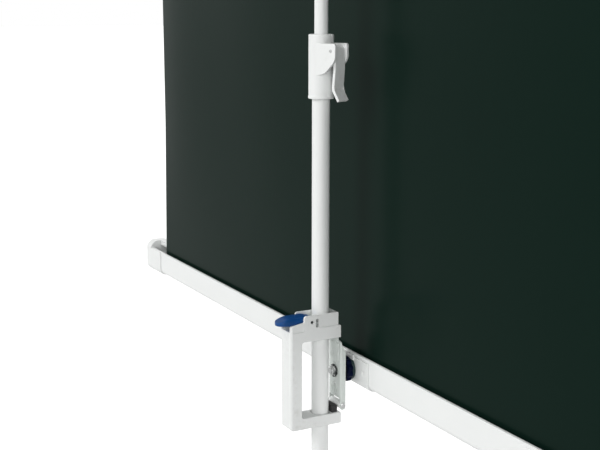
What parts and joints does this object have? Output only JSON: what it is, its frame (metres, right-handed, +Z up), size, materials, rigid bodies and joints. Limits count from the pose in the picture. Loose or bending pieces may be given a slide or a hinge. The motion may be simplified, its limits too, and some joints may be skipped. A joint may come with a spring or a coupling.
{
  "type": "projection screen",
  "caption": "Tripod projection screen: fabric pulls up out of a spring-roller case held by a sliding, turning carriage on a telescopic mast with a flip lock and folding legs",
  "frame": {"origin": "the middle of the whole screen's footprint, on the floor", "axes": "+Z is up along the mast, the audience is on the -Y side, and the case and the slat lie along X"},
  "size_m": [1.684, 0.7437, 2.322],
  "materials": {
    "white_paint": "white powder coat, satin",
    "white_plastic": "white moulded plastic, satin",
    "grey_plastic": "grey moulded plastic",
    "blue_plastic": "dark blue moulded plastic, semi-gloss",
    "navy_plastic": "navy, almost black, moulded plastic, semi-gloss",
    "black_plastic": "black moulded plastic",
    "black_fabric": "coated screen fabric, black-green back, matt white front",
    "black_rubber": "black rubber",
    "steel": "zinc-plated steel",
    "grey_paint": "light grey painted sheet steel"
  },
  "bodies": {
    "stand": {"outer_tube": "white_paint", "tube_end_plug": "black_plastic", "tripod_hub": "white_plastic", "strut_1_pin": "steel", "strut_2_pin": "steel", "strut_3_pin": "steel", "lock_collar": "white_plastic", "lock_lever_pin": "steel"},
    "runner": {"tripod_runner": "white_plastic", "leg_1_pin": "steel", "leg_2_pin": "steel", "leg_3_pin": "steel"},
    "leg_1_body": {"leg_1": "white_paint", "foot_1": "black_rubber"},
    "leg_2_body": {"leg_2": "white_paint", "foot_2": "black_rubber"},
    "leg_3_body": {"leg_3": "white_paint", "foot_3": "black_rubber"},
    "strut_1_body": {"strut_1": "white_paint"},
    "strut_2_body": {"strut_2": "white_paint"},
    "strut_3_body": {"strut_3": "white_paint"},
    "lock_lever_body": {"lock_lever": "white_plastic"},
    "lock_pad_body": {"lock_pad": "black_plastic"},
    "mast": {"extension_tube": "white_paint", "mast_guide_bush": "black_plastic", "mast_top_cap": "white_plastic", "hook_screw": "steel", "hanger_hook": "white_paint"},
    "carriage": {"carriage_handle": "white_plastic", "brake_lever_pin": "steel", "brake_spring": "steel", "pivot_bracket": "grey_paint", "bracket_screw_1": "steel", "bracket_screw_2": "steel", "bracket_spacer": "white_plastic", "spacer_rivet": "steel", "pivot_sleeve": "steel"},
    "brake_lever_body": {"brake_lever": "blue_plastic"},
    "brake_shoe_body": {"brake_shoe": "grey_plastic"},
    "knob": {"pivot_knob": "navy_plastic"},
    "case": {"case_shell": "white_paint", "case_end_cap_1": "white_plastic", "case_end_cap_2": "white_plastic", "case_cradle": "white_paint", "cradle_rivet_1": "white_paint", "cradle_rivet_2": "white_paint", "pivot_bolt": "steel", "pivot_locknut": "steel", "spring_rod": "steel", "roller_spring": "steel"},
    "roller": {"roller_tube": "steel", "fabric_wraps": "black_fabric", "roller_idle_plug": "grey_plastic", "roller_spring_plug": "grey_plastic"},
    "slat": {"top_slat": "white_paint", "slat_cap_1": "blue_plastic", "slat_cap_2": "blue_plastic", "slat_loop": "steel", "screen_fabric": "black_fabric"}
  },
  "joints": [
    {"name": "runner_slide", "type": "slide", "parent": "stand", "child": "runner", "axis": [0, 0, 1], "range_m": [0, 0.267]},
    {"name": "leg_1_fold", "type": "hinge", "parent": "runner", "child": "leg_1_body", "pos_m": [0, -0.08275, 0.265], "axis": [-1, 0, 0], "range_deg": [0, 60]},
    {"name": "leg_2_fold", "type": "hinge", "parent": "runner", "child": "leg_2_body", "pos_m": [-0.02944, -0.13375, 0.265], "axis": [0.5, -0.866, 0], "range_deg": [0, 60]},
    {"name": "leg_3_fold", "type": "hinge", "parent": "runner", "child": "leg_3_body", "pos_m": [0.02944, -0.13375, 0.265], "axis": [0.5, 0.866, 0], "range_deg": [0, 60]},
    {"name": "strut_1_fold", "type": "hinge", "parent": "stand", "child": "strut_1_body", "pos_m": [0, -0.09875, 0.075], "axis": [1, 0, 0], "range_deg": [0, 66.8]},
    {"name": "strut_2_fold", "type": "hinge", "parent": "stand", "child": "strut_2_body", "pos_m": [-0.01559, -0.12575, 0.075], "axis": [-0.5, 0.866, 0], "range_deg": [0, 66.8]},
    {"name": "strut_3_fold", "type": "hinge", "parent": "stand", "child": "strut_3_body", "pos_m": [0.01559, -0.12575, 0.075], "axis": [-0.5, -0.866, 0], "range_deg": [0, 66.8]},
    {"name": "lock_lever_flip", "type": "hinge", "parent": "stand", "child": "lock_lever_body", "pos_m": [-0.02361, -0.12878, 1.559], "axis": [-0.454, 0.891, 0], "range_deg": [0, 110]},
    {"name": "lock_pad_slide", "type": "slide", "parent": "stand", "child": "lock_pad_body", "axis": [-0.891, -0.454, 0], "range_m": [0, 0.0005]},
    {"name": "mast_slide", "type": "slide", "parent": "stand", "child": "mast", "axis": [0, 0, 1], "range_m": [-0.66, 0]},
    {"name": "carriage_slide", "type": "slide", "parent": "stand", "child": "carriage", "axis": [0, 0, 1], "range_m": [0, 0.26]},
    {"name": "brake_lever_press", "type": "hinge", "parent": "carriage", "child": "brake_lever_body", "pos_m": [0, -0.09515, 1.178], "axis": [-1, 0, 0], "range_deg": [0, 8], "stiffness_Nm_per_rad": 0.5, "springref_deg": -11.46, "deforming": ["brake_spring"]},
    {"name": "brake_shoe_slide", "type": "slide", "parent": "carriage", "child": "brake_shoe_body", "axis": [0, 1, 0], "range_m": [0, 0.0004]},
    {"name": "knob_turn", "type": "hinge", "parent": "carriage", "child": "knob", "pos_m": [0, -0.15475, 1.096], "axis": [0, 1, 0], "range_deg": [0, 360]},
    {"name": "case_turn", "type": "hinge", "parent": "carriage", "child": "case", "pos_m": [0, -0.16875, 1.096], "axis": [0, 1, 0], "range_deg": [0, 90]},
    {"name": "roller_turn", "type": "hinge", "parent": "case", "child": "roller", "pos_m": [0, -0.1946, 1.0985], "axis": [1, 0, 0], "range_deg": [-2425, 0]},
    {"name": "slat_slide", "type": "slide", "parent": "case", "child": "slat", "axis": [0, 0, 1], "range_m": [-0.66, 0], "deforming": ["screen_fabric"]}
  ],
  "couplings": [
    {"joint": "leg_1_fold", "follows": "runner_slide", "rad_per_m": 3.917},
    {"joint": "leg_2_fold", "follows": "runner_slide", "rad_per_m": 3.917},
    {"joint": "leg_3_fold", "follows": "runner_slide", "rad_per_m": 3.917},
    {"joint": "strut_1_fold", "follows": "runner_slide", "rad_per_m": 4.3587},
    {"joint": "strut_2_fold", "follows": "runner_slide", "rad_per_m": 4.3587},
    {"joint": "strut_3_fold", "follows": "runner_slide", "rad_per_m": 4.3587},
    {"joint": "lock_pad_slide", "follows": "lock_lever_flip", "m_per_rad": 0.00026},
    {"joint": "brake_shoe_slide", "follows": "brake_lever_press", "m_per_rad": 0.00286},
    {"joint": "slat_slide", "follows": "mast_slide", "ratio": 1},
    {"joint": "roller_turn", "follows": "mast_slide", "rad_per_m": 64}
  ]
}
